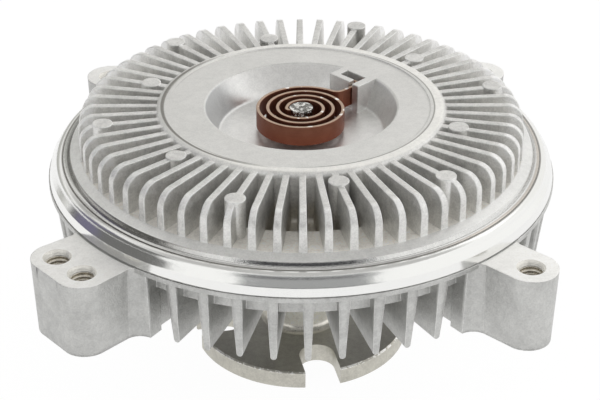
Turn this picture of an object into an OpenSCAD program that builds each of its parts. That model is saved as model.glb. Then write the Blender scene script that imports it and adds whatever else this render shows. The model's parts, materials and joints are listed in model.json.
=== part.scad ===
// Viscous fan clutch with a bimetal coil, standing on the rear face of its drive flange.
// Millimetres, +Z up along the shaft, origin at the centre of the flange's rear face.

/* [Drive flange and shaft] */
// Radius of the drive flange
flange_r = 39.5; // [36:0.5:46]
// Thickness of the drive flange
flange_t = 6.9; // [5:0.1:10]
// Chamfer around both edges of the flange
flange_chamfer = 0.5; // [0.2:0.1:1]
// Number of open stud slots in the flange
slot_count = 4; // [3:1:6]
// Width of a stud slot
slot_w = 13; // [9:0.5:15]
// Radius from the axis to the middle of a slot's round end
slot_centre_r = 28.7; // [27:0.1:31]
// Radius of the pilot bore in the rear face
pilot_r = 8; // [5:0.1:8.5]
// Depth of the pilot bore
pilot_depth = 9; // [6:0.5:14]
// Radius of the bare neck between flange and bearing
neck_r = 12.2; // [10:0.1:12.6]
// Length of the neck
neck_len = 40.6; // [36:0.2:50]
// Fillet between neck and flange
neck_fillet = 3; // [2:0.5:5]
// Radius of the front end that carries the rotor
rotor_seat_r = 6.5; // [5:0.1:8]

/* [Bearing] */
// Radius of the bearing's bore
bearing_bore_r = 8.5; // [8.2:0.1:9]
// Outer radius of the bearing
bearing_outer_r = 23.5; // [22.5:0.1:26]
// Width of the bearing
bearing_w = 14; // [13.5:0.1:18]
// Radial thickness of each ring at its shoulder
ring_t = 4.6; // [4:0.1:5]
// Radius of a ball
ball_r = 4; // [3.6:0.1:4.2]
// Number of balls
ball_count = 8; // [6:1:9]
// Height of the cage above and below the balls
cage_rim = 0.8; // [0.6:0.1:1]
// Radial thickness of the cage
cage_t = 2.6; // [2:0.1:3.4]
// Thickness of a bearing seal
seal_t = 1.2; // [0.8:0.1:1.4]
// Depth of a seal below the ring's face
seal_inset = 0.4; // [0.2:0.1:0.6]
// Depth of a seal's seat in the outer ring
seal_seat_w = 1.15; // [0.8:0.05:1.4]
// Thickness of the retaining ring behind the bearing
circlip_t = 1.5; // [1:0.1:2]
// Radial width of the retaining ring inside the bore
circlip_w = 2.2; // [1.5:0.1:3]
// Depth of the retaining ring's groove
circlip_bite = 1.2; // [0.8:0.1:1.6]
// Radius of the retaining ring's ears
circlip_ear_r = 2.9; // [2.4:0.1:3.2]
// Angle left open between the retaining ring's ears
circlip_open = 44; // [30:1:70]

/* [Rear housing] */
// Radius of the space the rotor turns in
cavity_r = 80.5; // [76:0.5:90]
// Wall of the skirt around that space
skirt_t = 3; // [2:0.2:5]
// Thickness of the rear wall
back_wall_t = 4; // [3:0.2:6]
// Length of the shoulder in front of the bearing
shoulder_t = 4.5; // [4:0.1:8]
// Radial height of the shoulder in front of the bearing
shoulder_w = 5; // [3:0.2:7]
// Wall of the bearing hub
hub_wall = 7.5; // [4:0.5:9]
// Widening of the hub towards the rear wall
hub_flare = 6; // [1:0.5:8]
// Length of the hub behind the retaining ring
hub_lip = 2; // [1:0.2:4]
// Radial width of the polished rim, from the rotor space outwards
rim_w = 9.5; // [8.8:0.1:12]
// Height of the polished rim
rim_h = 6.9; // [6:0.1:9]
// Thickness of the rolled lip
lip_t = 1.65; // [1:0.05:2.5]
// Overlap of the rolled lip on the cover
lip_overlap = 1.5; // [1:0.1:2.2]
// Inward lean of the rim's wall
rim_draft = 0.7; // [0.2:0.1:1]
// Width of the rim's bright bevel
bevel_w = 1.7; // [1:0.1:2]
// Height of the rim's bright bevel
bevel_h = 2.3; // [1.5:0.1:2.8]
// Thickness of the cast ledge below the rim
ledge_t = 2; // [1:0.1:3]
// Overhang of the cast ledge past the rim
ledge_step = 0.3; // [0.1:0.1:1]
// Height and depth of the fine line between rim and ledge
ledge_line = 0.35; // [0.2:0.05:0.6]

/* [Rear fins] */
// Number of fins on the rear wall
rear_fin_count = 48; // [36:4:52]
// Height of the fins behind the rear wall
rear_fin_h = 17.2; // [12:0.1:20]
// Thickness of a fin at its root
rear_fin_root_t = 3.2; // [2.6:0.1:3.6]
// Thickness of a fin at its round tip
rear_fin_tip_t = 2.1; // [1.5:0.1:2.5]
// Distance the fins stand out from the skirt at their tops
rear_fin_proud = 5.7; // [3:0.1:6.2]
// Inward slant of a fin's outer edge
rear_fin_slant = 3.1; // [0.5:0.1:4]
// Distance from the hub to the fins' inner ends
rear_fin_start = 6.5; // [4:0.5:10]

/* [Fan lugs] */
// Number of lugs
lug_count = 4; // [3:1:6]
// Angle of the first lug from the flange's first slot
lug_angle = 34.6; // [0:0.1:89]
// Distance from the rim to the middle of a lug's hole
lug_reach = 13.4; // [11:0.1:20]
// Width of a lug
lug_w = 18.5; // [16:0.5:22]
// Width of the wide lug's second end
second_lug_w = 17.6; // [15:0.1:18]
// Height of a lug
lug_h = 27.3; // [22:0.1:29]
// Narrowing of a lug's sides and end towards its bottom
lug_draft = 1; // [0.4:0.1:1.5]
// Fillet at a lug's root
lug_fillet = 5; // [2:0.5:7]
// Distance of a lug's flat sides in from its round end
lug_flank_inset = 0.1; // [0.05:0.05:0.3]
// Distance from the rim's foot in to the circle that the fillet runs out on
lug_fillet_inset = 1.2; // [0.8:0.1:2]
// Length of a lug inwards from the skirt
lug_root = 11; // [6:1:18]
// Nominal radius of a lug's thread
lug_thread_r = 4; // [3:0.1:5]
// Width of the countersink around a lug's thread
lug_countersink = 0.8; // [0.4:0.1:2]
// Place of the wide lug, counted from the first lug
wide_lug = 2; // [0:1:2]
// Angle from the main hole to the second hole in the wide lug
second_hole_angle = 7.5; // [6.5:0.1:9]

/* [Rotor] */
// Gap between rotor and rotor space at the rim
rotor_rim_gap = 4.5; // [4:0.1:6]
// Gap between rotor and rear wall
rotor_rear_gap = 1; // [0.5:0.1:2]
// Thickness of the rotor's web
rotor_t = 3; // [2.4:0.1:4]
// Wall of the rotor's hub
rotor_hub_wall = 5.5; // [3:0.5:8]
// Height of the ring-shaped lands
land_h = 3.4; // [2:0.1:5]
// Thickness of a land
land_t = 1.2; // [0.8:0.1:1.3]
// Spacing of the lands
land_pitch = 3.2; // [3.1:0.1:4]
// Gap at the ends of the lands
land_end_gap = 0.6; // [0.3:0.1:1]

/* [Front cover] */
// Thickness of the cover under the trench around its plain face
cover_wall_t = 3; // [2.4:0.1:4]
// Height of the pads between the fins' outer ends above that trench
pad_h = 4.5; // [3:0.1:6]
// Radius where the pads begin
pad_r = 65.4; // [62:0.1:68]
// Inward slope of the pads' inner ends
pad_draft = 0.6; // [0.2:0.1:1.5]
// Width of the housing's seat for the cover
seat_w = 6; // [5:0.1:6.5]
// Thickness of the cover's edge under the rolled lip
cover_edge_t = 2.5; // [1.5:0.1:4]
// Height of the housing's seat above the cover's inner face
seat_rise = 0.5; // [0.3:0.1:1.5]
// Radial gap between the rotor and the edge of the cover's spigot
spigot_gap = 3; // [2.4:0.1:3.4]
// Width of the flat step inside the rolled lip
step_w = 2; // [1:0.1:3]
// Width of the bevel above that step
step_bevel_w = 0.6; // [0.3:0.1:1.2]
// Height of the bevel above that step
step_bevel_h = 1.45; // [0.8:0.05:2]
// Width of the sloping land outside the fins
foot_w = 3.5; // [2:0.1:6]
// Number of front fins
front_fin_count = 60; // [48:12:72]
// Height of the front fins
front_fin_h = 13.1; // [11:0.1:18]
// Thickness of a front fin at its root
front_fin_root_t = 3.3; // [2.6:0.1:3.6]
// Thickness of a front fin at its top
front_fin_top_t = 2.2; // [1.6:0.1:2.4]
// Round of a front fin's outer top corner
front_fin_round = 6; // [2:0.5:9]
// Angle of the first front fin
front_fin_angle = 0.5; // [0:0.1:6]
// Number of round bosses on each of the two boss circles
boss_count = 6; // [4:1:12]
// Radius of a boss
boss_r = 3.5; // [2.5:0.1:4.5]
// Radius of the outer boss circle
boss_outer_circle = 70.6; // [66:0.1:73]
// Radius of the inner boss circle
boss_inner_circle = 57; // [55:0.1:62]
// Height of the bosses above the fins
boss_rise = 0.5; // [0.2:0.1:1.5]

/* [Cover face and bowl] */
// Radius of the cover's plain face
plate_r = 51.5; // [49:0.5:53]
// Height of the plain face above the fins
plate_rise = 0.7; // [0.3:0.1:3]
// Thickness of the plain face
plate_t = 3.5; // [2.5:0.1:5]
// Wall between the oil store and the fins
plate_wall_t = 5; // [3.5:0.1:6]
// Round of the plain face's edge
plate_round = 2; // [1:0.1:2.5]
// Radius of the shallow turned step in the plain face
turned_r = 47.2; // [44:0.1:48]
// Sideways offset of the turned step
turned_shift = 1.6; // [0:0.1:2]
// Direction of that offset
turned_angle = 168; // [0:1:359]
// Depth of the turned step
turned_depth = 0.4; // [0.2:0.1:0.6]
// Radius of the bowl at the plain face
bowl_r = 34; // [31:0.1:37]
// Radius of the bowl at its floor
bowl_floor_r = 29.5; // [26:0.1:31]
// Fillet around the bowl's floor
bowl_fillet = 1.2; // [0.5:0.1:3]
// Round of the bowl's edge at the plain face
bowl_edge_round = 1.2; // [0.5:0.1:2]
// Wall under the bowl
bowl_wall_t = 3; // [2:0.1:4]

/* [Coil anchor] */
// Angle of the anchor from the flange's first slot
anchor_angle = 33; // [0:1:90]
// Distance the anchor stands in from the bowl's edge
anchor_reach = 8.8; // [7:0.1:10]
// Thickness of the anchor's post in front of the pocket
anchor_post_t = 2.4; // [2:0.1:3]
// Length of the post, past the slot
anchor_post_len = 9.8; // [6:0.1:12]
// Offset of the slot from the anchor's middle line
anchor_slot_y = 0.4; // [0:0.1:4]
// Width of the pillar beside the slot
anchor_pillar_w = 3; // [2:0.1:5]
// Distance the pillar stands further in than the post
anchor_pillar_reach = 0.7; // [0:0.1:2]
// Length of the pocket behind the post
pocket_len = 7; // [4:0.1:8]
// Width of the pocket behind the post
pocket_w = 4.1; // [2.4:0.1:4.5]

/* [Bimetal coil] */
// Thickness of the strip
strip_t = 1.2; // [0.6:0.1:1.4]
// Height of the strip
strip_h = 7; // [5:0.1:7.2]
// Radius of the coil where its tail begins
coil_r = 17.2; // [15:0.1:18]
// Spacing of the turns
coil_pitch = 3.5; // [2.6:0.05:3.6]
// Number of turns
coil_turns = 3.3; // [2:0.1:3.3]
// Angle from the anchor's middle line to the start of the tail
tail_angle = 8; // [0:1:20]
// Angle the strip's inner end turns through on its way to the valve shaft
tang_turn = 35; // [28:1:42]
// Gap between coil and bowl
coil_floor_gap = 2; // [1:0.1:2.5]
// Distance the turns lie off the axis, towards the anchor
coil_shift = 0.8; // [0:0.1:0.9]

/* [Valve] */
// Radius of the valve shaft
valve_shaft_r = 3; // [2:0.1:3.5]
// Radius of its slotted head
valve_head_r = 4.1; // [3.8:0.1:4.3]
// Thickness of the head's top, closed over the strip
valve_cap_t = 0.4; // [0.3:0.1:0.6]
// Length of the valve shaft's bore in the cover
valve_bore_len = 7.5; // [5:0.1:9]
// Radius of the collar around that bore
valve_collar_r = 8; // [6:0.1:10]
// Thickness of the ring seal around the valve shaft
ring_seal_d = 1.5; // [1:0.1:2]
// Thickness of the valve arm
arm_t = 0.8; // [0.5:0.1:1.5]
// Width of the valve arm
arm_w = 10; // [8:0.5:14]
// Angle of the valve arm from the anchor's middle line
arm_angle = 120; // [60:5:150]
// Gap above and below the valve arm
arm_gap = 0.4; // [0.3:0.1:0.8]
// Radius of the port in the separator plate
port_r = 3; // [1.5:0.1:3.5]
// Distance of the port from the axis
port_circle = 36; // [30:0.5:39]

/* [Separator, seal and wiper] */
// Thickness of the separator plate
separator_t = 1.2; // [0.8:0.1:2]
// Width of the separator plate's seat
separator_seat = 4; // [3:0.1:4.5]
// Number of rivets in the separator plate
rivet_count = 6; // [3:1:12]
// Radius of a rivet
rivet_r = 1; // [0.6:0.1:1.2]
// Radius of a rivet's head
rivet_head_r = 1.7; // [1.4:0.1:1.9]
// Length of a rivet in the cover
rivet_len = 5; // [3:0.5:8]
// Height of a rivet's head
rivet_head_h = 0.8; // [0.5:0.1:1.2]
// Width of the cover seal
cover_seal_w = 2.4; // [1.4:0.1:3]
// Height of the cover seal
cover_seal_h = 1.6; // [1:0.1:2.2]
// Angle the wiper covers along the rotor's rim
wiper_sweep = 12; // [6:1:24]
// Height of the wiper
wiper_h = 7; // [4:0.1:8]
// Radius of the wiper's pin
wiper_pin_r = 0.6; // [0.4:0.1:0.7]
// Length of the wiper's pin in the cover
wiper_pin_len = 2; // [1:0.1:2.5]

/* [Fits] */
// Radial clearance of a part that turns in another
running_gap = 0.05; // [0.02:0.01:0.1]
// Clearance of a part that is seated in another
seat_gap = 0.02; // [0.01:0.01:0.05]
// Clearance between parts that pass without touching
free_gap = 0.4; // [0.3:0.05:0.6]

/* [Hidden] */
$fn = 96;
// Overlap of two shapes that are joined into one piece
bite = 1;
// Depth the turned face takes off the top of the bowl's round edge
trim = 0.02;

// Heights from the flange's rear face, from the bottom up
z_neck_top = flange_t + neck_len;
z_bearing_top = z_neck_top + bearing_w;
z_clip = z_neck_top - circlip_t;
z_hub = z_clip - hub_lip;
z_floor = z_bearing_top + shoulder_t;
z_back = z_floor - back_wall_t;
z_rear_fin = z_back - rear_fin_h;
z_rotor = z_floor + rotor_rear_gap;
z_web_top = z_rotor + rotor_t;
z_cover_in = z_web_top + land_h + land_end_gap;
z_trench = z_cover_in + cover_wall_t;
z_channel = z_trench + pad_h;
z_fin_top = z_channel + front_fin_h;
z_plate = z_fin_top + plate_rise;
z_seat = z_cover_in + seat_rise;
z_lip_under = z_seat + cover_edge_t;
z_lip = z_lip_under + lip_t;
z_ledge = z_lip - rim_h;
z_lug = z_ledge - ledge_line;
z_lug_low = z_lug - lug_h - bite;
z_separator_top = z_cover_in + separator_t;
z_arm = z_separator_top + arm_gap;
z_collar = z_arm + arm_t + arm_gap;
z_bowl = z_collar + valve_bore_len;
z_coil = z_bowl + coil_floor_gap;
z_coil_top = z_coil + strip_h;
z_face = z_plate - turned_depth;
z_bowl_edge = z_face + trim;

// Radii
ball_circle = (bearing_bore_r + bearing_outer_r) / 2;
inner_land_r = bearing_bore_r + ring_t;
outer_land_r = bearing_outer_r - ring_t;
groove_r = ball_r + running_gap;
seal_seat_r = outer_land_r + seal_seat_w;
hub_r = bearing_outer_r + hub_wall;
skirt_r = cavity_r + skirt_t;
rim_r = cavity_r + rim_w;
ledge_r = rim_r + ledge_step;
lug_hole_circle = rim_r + lug_reach;
wide_lug_angle = lug_angle + wide_lug * 360 / lug_count;
lug_root_x = skirt_r - lug_root;
rotor_r = cavity_r - rotor_rim_gap;
spigot_r = rotor_r + spigot_gap;
cover_edge_r = cavity_r + seat_w;
lip_r = cover_edge_r - lip_overlap;
step_r = lip_r - step_w;
land_r = step_r - step_bevel_w;
front_fin_r = land_r - foot_w;
store_r = plate_r - plate_wall_t;
separator_r = store_r + separator_seat;
rivet_circle = store_r + separator_seat / 2;
first_land_r = separator_r + land_pitch / 2;
land_count = floor((rotor_r - first_land_r - land_t) / land_pitch);
rotor_hub_r = rotor_seat_r + rotor_hub_wall;
strip_slot_w = strip_t + 2 * free_gap;
anchor_x = bowl_r - anchor_reach;
slot_y = -anchor_slot_y - strip_slot_w / 2;

function polar(r, a) = [r * cos(a), r * sin(a)];

// Quarter of a filled corner, for a fillet of radius r in the corner at the origin
module cove(r) {
  difference() {
    translate([-bite / 2, -bite / 2]) square(r + bite / 2);
    translate([r, r]) circle(r);
  }
}

// Copies of a shape around the axis
module ring_of(count, start = 0) {
  for (i = [0 : count - 1]) rotate(start + i * 360 / count) children();
}

// Plain ring between two radii and two heights
module tube(r_in, r_out, z_low, z_high) {
  rotate_extrude() translate([r_in, z_low]) square([r_out - r_in, z_high - z_low]);
}

// Radial bar with a drafted section, from r_in to r_out
module bar(r_in, r_out) {
  translate([r_in, 0, 0]) rotate([90, 0, 90]) linear_extrude(r_out - r_in) children();
}

// Open stud slots of the flange
module stud_slots() {
  ring_of(slot_count) translate([slot_centre_r, 0, -bite]) {
    cylinder(r = slot_w / 2, h = flange_t + 2 * bite);
    translate([0, -slot_w / 2, 0]) cube([flange_r, slot_w, flange_t + 2 * bite]);
  }
}

module shaft_profile() {
  polygon([[0, 0], [flange_r - flange_chamfer, 0], [flange_r, flange_chamfer],
    [flange_r, flange_t - flange_chamfer], [flange_r - flange_chamfer, flange_t],
    [neck_r, flange_t], [neck_r, z_neck_top], [bearing_bore_r - seat_gap, z_neck_top],
    [bearing_bore_r - seat_gap, z_bearing_top], [rotor_seat_r, z_bearing_top],
    [rotor_seat_r, z_web_top - flange_chamfer], [rotor_seat_r - flange_chamfer, z_web_top],
    [0, z_web_top]]);
  translate([neck_r, flange_t]) cove(neck_fillet);
}

module drive_shaft() {
  color("darkkhaki") difference() {
    rotate_extrude() shaft_profile();
    stud_slots();
    translate([0, 0, -bite]) cylinder(r = pilot_r, h = pilot_depth + bite);
  }
}

// Rotor web with its hub and the lands that face the cover
module rotor_disc() {
  color("gainsboro") {
    rotate_extrude() {
      translate([rotor_seat_r + seat_gap, z_bearing_top])
        square([rotor_hub_wall - seat_gap, z_web_top - z_bearing_top]);
      translate([rotor_hub_r - bite, z_rotor]) square([rotor_r - rotor_hub_r + bite, rotor_t]);
      for (i = [0 : land_count]) translate([first_land_r + i * land_pitch, z_web_top - bite])
        square([land_t, land_h + bite]);
    }
  }
}

module bearing_inner_ring() {
  color("lightsteelblue") rotate_extrude() difference() {
    translate([bearing_bore_r, z_neck_top]) square([ring_t, bearing_w]);
    translate([ball_circle, z_neck_top + bearing_w / 2]) circle(groove_r);
  }
}

module bearing_outer_ring() {
  seal_depth = seal_inset + seal_t;
  color("lightsteelblue") rotate_extrude() difference() {
    translate([outer_land_r, z_neck_top]) square([ring_t, bearing_w]);
    translate([ball_circle, z_neck_top + bearing_w / 2]) circle(groove_r);
    for (z = [z_neck_top - bite, z_bearing_top - seal_depth])
      translate([outer_land_r - bite, z]) square([seal_seat_r - outer_land_r + bite, seal_depth + bite]);
  }
}

module bearing_balls() {
  color("silver") ring_of(ball_count)
    translate([ball_circle, 0, z_neck_top + bearing_w / 2]) sphere(ball_r);
}

module ball_cage() {
  z_mid = z_neck_top + bearing_w / 2;
  half_h = ball_r + cage_rim;
  color("peru") difference() {
    tube(ball_circle - cage_t / 2, ball_circle + cage_t / 2, z_mid - half_h, z_mid + half_h);
    ring_of(ball_count) translate([ball_circle, 0, z_mid]) sphere(ball_r + running_gap);
  }
}

module bearing_seal(z_low) {
  color("dimgray") tube(inner_land_r + running_gap, seal_seat_r - seat_gap, z_low, z_low + seal_t);
}

module bearing_seal_front() {
  bearing_seal(z_bearing_top - seal_inset - seal_t);
}

module bearing_seal_rear() {
  bearing_seal(z_neck_top + seal_inset);
}

// Open retaining ring with an ear and a plier hole at each end
module bearing_circlip() {
  ring_in = bearing_outer_r - circlip_w;
  ring_out = bearing_outer_r + circlip_bite - seat_gap;
  ear_circle = bearing_outer_r - circlip_ear_r - free_gap;
  ear_angle = circlip_open / 2;
  color("dimgray") translate([0, 0, z_clip]) linear_extrude(circlip_t) difference() {
    union() {
      difference() {
        circle(ring_out);
        circle(ring_in);
        polygon([[0, 0], polar(2 * ring_out, ear_angle), polar(2 * ring_out, -ear_angle)]);
      }
      for (side = [-1, 1]) translate(polar(ear_circle, side * ear_angle)) circle(circlip_ear_r);
    }
    for (side = [-1, 1]) translate(polar(ear_circle, side * ear_angle)) circle(circlip_ear_r / 2);
  }
}

// Section of the housing casting from the hub to the rolled lip
module housing_profile() {
  bevel_r = rim_r - rim_draft - bevel_w;
  z_bevel = z_ledge + rim_h - lip_t;
  shoulder_rise = z_lip - z_bevel;
  polygon(concat(
    [[bearing_outer_r - shoulder_w, z_floor], [bearing_outer_r - shoulder_w, z_bearing_top],
      [bearing_outer_r + seat_gap, z_bearing_top], [bearing_outer_r + seat_gap, z_hub], [hub_r, z_hub],
      [hub_r + hub_flare, z_back], [skirt_r, z_back], [skirt_r, z_ledge - ledge_t],
      [ledge_r, z_ledge - ledge_t], [ledge_r, z_lug], [rim_r - ledge_line, z_lug],
      [rim_r - ledge_line, z_ledge], [rim_r, z_ledge], [rim_r - rim_draft, z_bevel - bevel_h]],
    [for (t = [0 : 15 : 90]) [lip_r + (bevel_r - lip_r) * cos(t), z_bevel + shoulder_rise * sin(t)]],
    [[lip_r, z_lip_under], [cover_edge_r + seat_gap, z_lip_under], [cover_edge_r + seat_gap, z_seat],
      [cavity_r, z_seat], [cavity_r, z_floor]]));
}

// Envelope that trims the rear fins
module rear_fin_envelope() {
  r_in = hub_r + rear_fin_start;
  r_out = skirt_r + rear_fin_proud;
  wall_mid = skirt_r - skirt_t / 2;
  polygon([[r_in, z_rear_fin - bite], [r_out - rear_fin_slant, z_rear_fin - bite],
    [r_out, z_ledge - ledge_t / 2], [wall_mid, z_ledge - ledge_t / 2],
    [wall_mid, z_back + back_wall_t / 2], [r_in, z_back + back_wall_t / 2]]);
}

module rear_fin_section() {
  z_tip = z_rear_fin + rear_fin_tip_t / 2;
  draft = (rear_fin_root_t - rear_fin_tip_t) / (z_back - z_tip);
  top_t = rear_fin_root_t + draft * (z_ledge - z_back);
  polygon([[-rear_fin_tip_t / 2, z_tip], [rear_fin_tip_t / 2, z_tip],
    [top_t / 2, z_ledge], [-top_t / 2, z_ledge]]);
  translate([0, z_tip]) circle(rear_fin_tip_t / 2);
}

module rear_fins() {
  intersection() {
    rotate_extrude() rear_fin_envelope();
    ring_of(rear_fin_count, lug_angle) bar(hub_r, rim_r) rear_fin_section();
  }
}

// Drafted side of a lug at distance w from its middle, as a section from the middle line outwards
module lug_half(w) {
  low_w = w - lug_draft + lug_flank_inset / 2;
  polygon([[-bite, z_lug_low], [low_w, z_lug_low], [w, z_lug], [-bite, z_lug]]);
}

// Fillet at one side of the root of a lug of width w, widening downwards as the lug narrows
module lug_root_fillet(side, w) {
  fillet_y = w / 2 - lug_flank_inset + lug_fillet;
  foot_r = rim_r - lug_fillet_inset;
  fillet_x = sqrt(pow(foot_r + lug_fillet, 2) - pow(fillet_y, 2));
  foot = atan2(fillet_y, fillet_x);
  height = z_lug - z_lug_low;
  translate([0, 0, z_lug_low]) difference() {
    linear_extrude(height) polygon([[lug_root_x, 0], [fillet_x - lug_draft, 0],
      [fillet_x - lug_draft, side * fillet_y], polar(foot_r, side * foot),
      polar(cavity_r + skirt_t / 2, side * foot)]);
    translate([fillet_x, side * fillet_y, -bite])
      cylinder(r1 = lug_fillet + lug_draft, r2 = lug_fillet, h = height + 2 * bite);
  }
}

// Lug of width w along +X with the fillets at its root, on one or both sides
module lug(sides, w) {
  translate([lug_hole_circle, 0, z_lug_low])
    cylinder(r1 = w / 2 - lug_draft, r2 = w / 2, h = z_lug - z_lug_low);
  for (side = sides) {
    bar(lug_root_x, lug_hole_circle) scale([side, 1]) lug_half(w / 2 - lug_flank_inset);
    lug_root_fillet(side, w);
  }
}

// Block between the two ends of the wide lug, flush with both
module wide_lug_middle() {
  half_step = second_hole_angle / 2;
  half_len = lug_hole_circle * sin(half_step) - bite / 2;
  end_x = lug_hole_circle * cos(half_step);
  lean = asin((lug_w - second_lug_w) / (4 * half_len));
  rotate(-half_step) translate([end_x, 0, 0]) rotate(-lean) translate([0, half_len, 0])
    rotate([90, 0, 0]) linear_extrude(2 * half_len) {
      translate([lug_root_x - end_x, z_lug_low]) square([end_x - lug_root_x, z_lug - z_lug_low]);
      lug_half((lug_w + second_lug_w) / 4 - lug_flank_inset);
    }
}

module lugs() {
  difference() {
    union() {
      for (i = [0 : lug_count - 1]) rotate(lug_angle + i * 360 / lug_count)
        lug(i == wide_lug ? [1] : [-1, 1], lug_w);
      rotate(wide_lug_angle) {
        rotate(-second_hole_angle) lug([-1], second_lug_w);
        wide_lug_middle();
      }
    }
    tube(lug_root_x - lug_w, lug_hole_circle + lug_w, z_lug_low - bite, z_lug - lug_h);
  }
}

// Hole for a thread, with a countersink at the lug's top
module lug_hole() {
  sink_h = lug_countersink + bite;
  translate([lug_hole_circle, 0, z_lug - lug_h - bite])
    cylinder(r = lug_thread_r, h = lug_h + 2 * bite);
  translate([lug_hole_circle, 0, z_lug - lug_countersink])
    cylinder(r1 = lug_thread_r, r2 = lug_thread_r + sink_h, h = sink_h);
}

module cover_seal_section(gap) {
  translate([cavity_r + seat_w / 2 - cover_seal_w / 2 - gap, z_seat - cover_seal_h - gap])
    square([cover_seal_w + 2 * gap, cover_seal_h + gap + (gap > 0 ? bite : 0)]);
}

module rear_housing() {
  color("lightgray") difference() {
    union() {
      rotate_extrude() housing_profile();
      rear_fins();
      lugs();
    }
    translate([0, 0, z_floor]) cylinder(r = cavity_r, h = z_plate);
    tube(bearing_outer_r - bite, bearing_outer_r + circlip_bite, z_clip, z_neck_top);
    rotate_extrude() cover_seal_section(seat_gap);
    ring_of(lug_count, lug_angle) lug_hole();
    rotate(wide_lug_angle - second_hole_angle) lug_hole();
  }
}

module cover_seal() {
  color("black") rotate_extrude() cover_seal_section(0);
}

// Point of the fillet between the bowl's sloping wall and its floor, from the wall at 0 to the floor at 1
bowl_slope = atan2(z_bowl_edge - z_bowl, bowl_r - bowl_floor_r);
bowl_run = bowl_fillet * tan(bowl_slope / 2);
function bowl_corner(t) = [bowl_floor_r - bowl_run + bowl_fillet * sin(bowl_slope * (1 - t)),
  z_bowl + bowl_fillet * (1 - cos(bowl_slope * (1 - t)))];

// Point of the round at the bowl's edge, from the plain face at 0 to the wall at 1
edge_run = bowl_edge_round * tan(bowl_slope / 2);
function bowl_edge(t) = [bowl_r + edge_run - bowl_edge_round * sin(bowl_slope * t),
  z_bowl_edge - bowl_edge_round * (1 - cos(bowl_slope * t))];

// Section of the cover casting from the axis to its edge
module cover_profile() {
  under_r = bowl_r + bowl_wall_t;
  under_floor_r = bowl_floor_r + bowl_wall_t;
  z_under = z_bowl - bowl_wall_t;
  difference() {
    polygon(concat([[0, z_collar], [valve_collar_r, z_collar], [valve_collar_r, z_under],
      [under_floor_r, z_under], [under_r, z_plate - plate_t], [store_r, z_plate - plate_t],
      [store_r, z_separator_top], [separator_r + seat_gap, z_separator_top],
      [separator_r + seat_gap, z_cover_in], [spigot_r, z_cover_in], [spigot_r, z_seat],
      [cover_edge_r, z_seat], [cover_edge_r, z_lip_under], [lip_r - seat_gap, z_lip_under],
      [lip_r - seat_gap, z_lip], [step_r, z_lip], [land_r, z_lip + step_bevel_h],
      [front_fin_r, z_channel], [pad_r, z_channel], [pad_r - pad_draft, z_trench],
      [plate_r, z_trench], [plate_r, z_plate], [bowl_r + edge_run, z_plate]],
      [for (t = [0 : 0.2 : 1]) bowl_edge(t)],
      [for (t = [0 : 0.2 : 1]) bowl_corner(t)],
      [[0, z_bowl]]));
    translate([plate_r, z_plate]) rotate(180) cove(plate_round);
  }
  translate([plate_r, z_trench]) cove(plate_round);
}

module cover_lands() {
  for (i = [0 : land_count - 1])
    translate([first_land_r + (i + 0.5) * land_pitch, z_cover_in - land_h])
      square([land_t, land_h + bite]);
}

// Envelope that trims the front fins, round at its outer top corner
module front_fin_envelope() {
  z_low = z_trench - bite;
  r_in = plate_r - plate_wall_t / 2;
  translate([r_in, z_low]) square([front_fin_r - front_fin_round - r_in, z_fin_top - z_low]);
  translate([r_in, z_low]) square([front_fin_r - r_in, z_fin_top - front_fin_round - z_low]);
  translate([front_fin_r - front_fin_round, z_fin_top - front_fin_round]) circle(front_fin_round);
}

module front_fin_section() {
  z_low = z_trench - 2 * bite;
  polygon([[-front_fin_root_t / 2, z_low], [front_fin_root_t / 2, z_low],
    [front_fin_top_t / 2, z_plate], [-front_fin_top_t / 2, z_plate]]);
}

module front_fins() {
  intersection() {
    rotate_extrude() front_fin_envelope();
    ring_of(front_fin_count, front_fin_angle) bar(store_r, land_r) front_fin_section();
  }
}

module bosses() {
  half_step = 180 / boss_count;
  height = z_fin_top + boss_rise - z_trench + bite;
  ring_of(boss_count, front_fin_angle) translate([boss_outer_circle, 0, z_trench - bite])
    cylinder(r = boss_r, h = height);
  ring_of(boss_count, front_fin_angle + half_step) translate([boss_inner_circle, 0, z_trench - bite])
    cylinder(r = boss_r, h = height);
}

// Cast anchor: a post, with a pillar beside its slot, grown from the bowl's wall and floor
module anchor() {
  z_root = z_bowl - bowl_wall_t / 2;
  x_pillar = anchor_x - anchor_pillar_reach;
  intersection() {
    rotate(anchor_angle) translate([0, 0, z_root]) linear_extrude(z_plate - z_root) {
      translate([anchor_x, slot_y - bite])
        square([anchor_reach + bowl_wall_t, anchor_post_len + strip_slot_w + bite]);
      translate([x_pillar, slot_y - anchor_pillar_w])
        square([anchor_reach + bowl_wall_t, anchor_pillar_w]);
    }
    translate([0, 0, z_root - bite])
      cylinder(r1 = bowl_floor_r, r2 = bowl_r + bowl_wall_t / 2, h = z_plate - z_root + 2 * bite);
  }
}

// Slot for the coil's tail and the pocket behind the post for its hook
module anchor_pocket() {
  z_low = z_coil - free_gap;
  rotate(anchor_angle) translate([0, 0, z_low]) linear_extrude(z_plate - z_low + bite) {
    translate([anchor_x - bite, slot_y]) square([anchor_post_t + pocket_w + bite, strip_slot_w]);
    translate([anchor_x + anchor_post_t, slot_y]) square([pocket_w, strip_slot_w + pocket_len]);
  }
}

// Groove in the cover that holds the ring seal
module ring_seal_groove() {
  z_mid = (z_collar + z_bowl) / 2;
  half_h = ring_seal_d / 2 + seat_gap;
  tube(valve_shaft_r - bite, valve_shaft_r + running_gap + ring_seal_d + seat_gap,
    z_mid - half_h, z_mid + half_h);
}

module rivet_holes() {
  ring_of(rivet_count, anchor_angle) translate([rivet_circle, 0, z_cover_in - bite])
    cylinder(r = rivet_r + seat_gap, h = bite + separator_t + rivet_len + seat_gap);
}

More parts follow.
